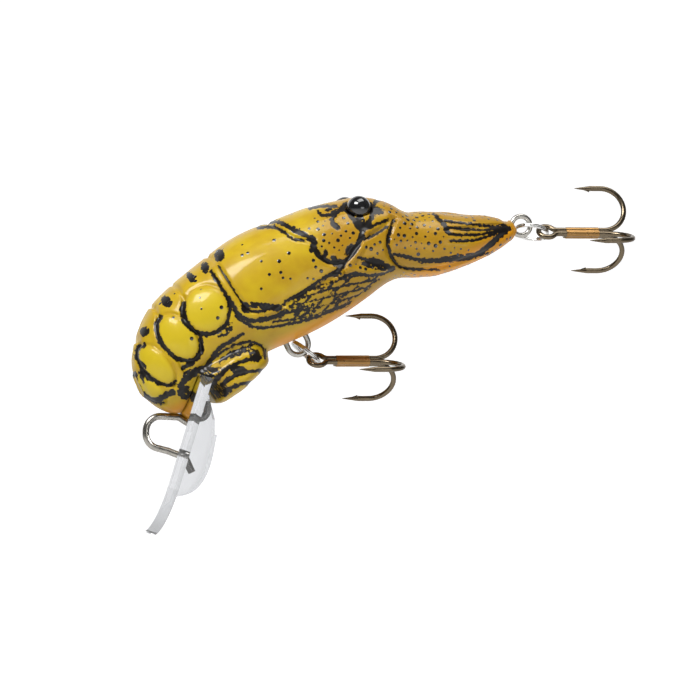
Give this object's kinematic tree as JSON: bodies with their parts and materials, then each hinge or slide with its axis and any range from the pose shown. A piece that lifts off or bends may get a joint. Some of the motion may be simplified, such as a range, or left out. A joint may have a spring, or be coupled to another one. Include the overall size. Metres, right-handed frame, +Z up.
{
  "type": "crankbait lure",
  "caption": "Crayfish-shaped diving crankbait: hollow painted body halves, clear diving lip with wire line tie, treble hooks swinging on split rings.",
  "frame": {"origin": "middle of the line-tie loop in front of the diving lip, on the seam plane", "axes": "-X is the way the lure is pulled, +X runs back to the claws and the rear hook, +Y is the lure's right side seen along the pull, +Z is up; the body is set 25 degrees nose-down as in the retrieve"},
  "size_m": [0.0637, 0.014, 0.0438],
  "materials": {
    "painted_shell": "high gloss clear coat over printed crayfish pattern",
    "clear_lip": "clear polished polycarbonate",
    "tie_wire": "bright drawn stainless wire",
    "hanger_wire": "bright drawn stainless wire",
    "split_ring": "polished nickel plate",
    "hook_wire": "dark bronze plated, glossy",
    "braze": "bare brazing metal, satin",
    "eye_bead": "glossy black",
    "ballast": "dull grey",
    "ball_steel": "ground steel balls"
  },
  "bodies": {
    "lure_body": {"body_left_shell": "painted_shell", "body_right_shell": "painted_shell", "diving_lip": "clear_lip", "line_tie_wire": "tie_wire", "belly_hanger_wire": "hanger_wire", "tail_hanger_wire": "hanger_wire", "left_eye": "eye_bead", "right_eye": "eye_bead", "ballast_weight": "ballast"},
    "belly_ring": {"belly_split_ring": "split_ring"},
    "belly_hook": {"belly_double_hook": "hook_wire", "belly_third_hook": "hook_wire", "belly_hook_braze": "braze"},
    "tail_ring": {"tail_split_ring": "split_ring"},
    "tail_hook": {"tail_double_hook": "hook_wire", "tail_third_hook": "hook_wire", "tail_hook_braze": "braze"},
    "rattle_front": {"rattle_ball_front": "ball_steel"},
    "rattle_middle": {"rattle_ball_middle": "ball_steel"},
    "rattle_rear": {"rattle_ball_rear": "ball_steel"}
  },
  "joints": [
    {"name": "belly_ring_swing", "type": "hinge", "parent": "lure_body", "child": "belly_ring", "pos_m": [0.01738, 0, 0.011], "axis": [0, 1, 0], "range_deg": [0, 75]},
    {"name": "belly_hook_sway", "type": "hinge", "parent": "belly_ring", "child": "belly_hook", "pos_m": [0.01978, -0.00027, 0.00899], "axis": [0.5416, 0.7071, -0.4546], "range_deg": [-5, 35]},
    {"name": "tail_ring_swing", "type": "hinge", "parent": "lure_body", "child": "tail_ring", "pos_m": [0.04607, 0, 0.02587], "axis": [0, 1, 0], "range_deg": [-80, 80]},
    {"name": "tail_hook_sway", "type": "hinge", "parent": "tail_ring", "child": "tail_hook", "pos_m": [0.04942, -0.00006, 0.02511], "axis": [0.4803, 0.779, -0.4031], "range_deg": [-35, 35]},
    {"name": "rattle_front_slide", "type": "slide", "parent": "lure_body", "child": "rattle_front", "axis": [0, 1, 0], "range_m": [-0.0024, 0.0024]},
    {"name": "rattle_middle_slide", "type": "slide", "parent": "lure_body", "child": "rattle_middle", "axis": [0, 1, 0], "range_m": [-0.0024, 0.0024]},
    {"name": "rattle_rear_slide", "type": "slide", "parent": "lure_body", "child": "rattle_rear", "axis": [0, 1, 0], "range_m": [-0.0024, 0.0024]}
  ]
}
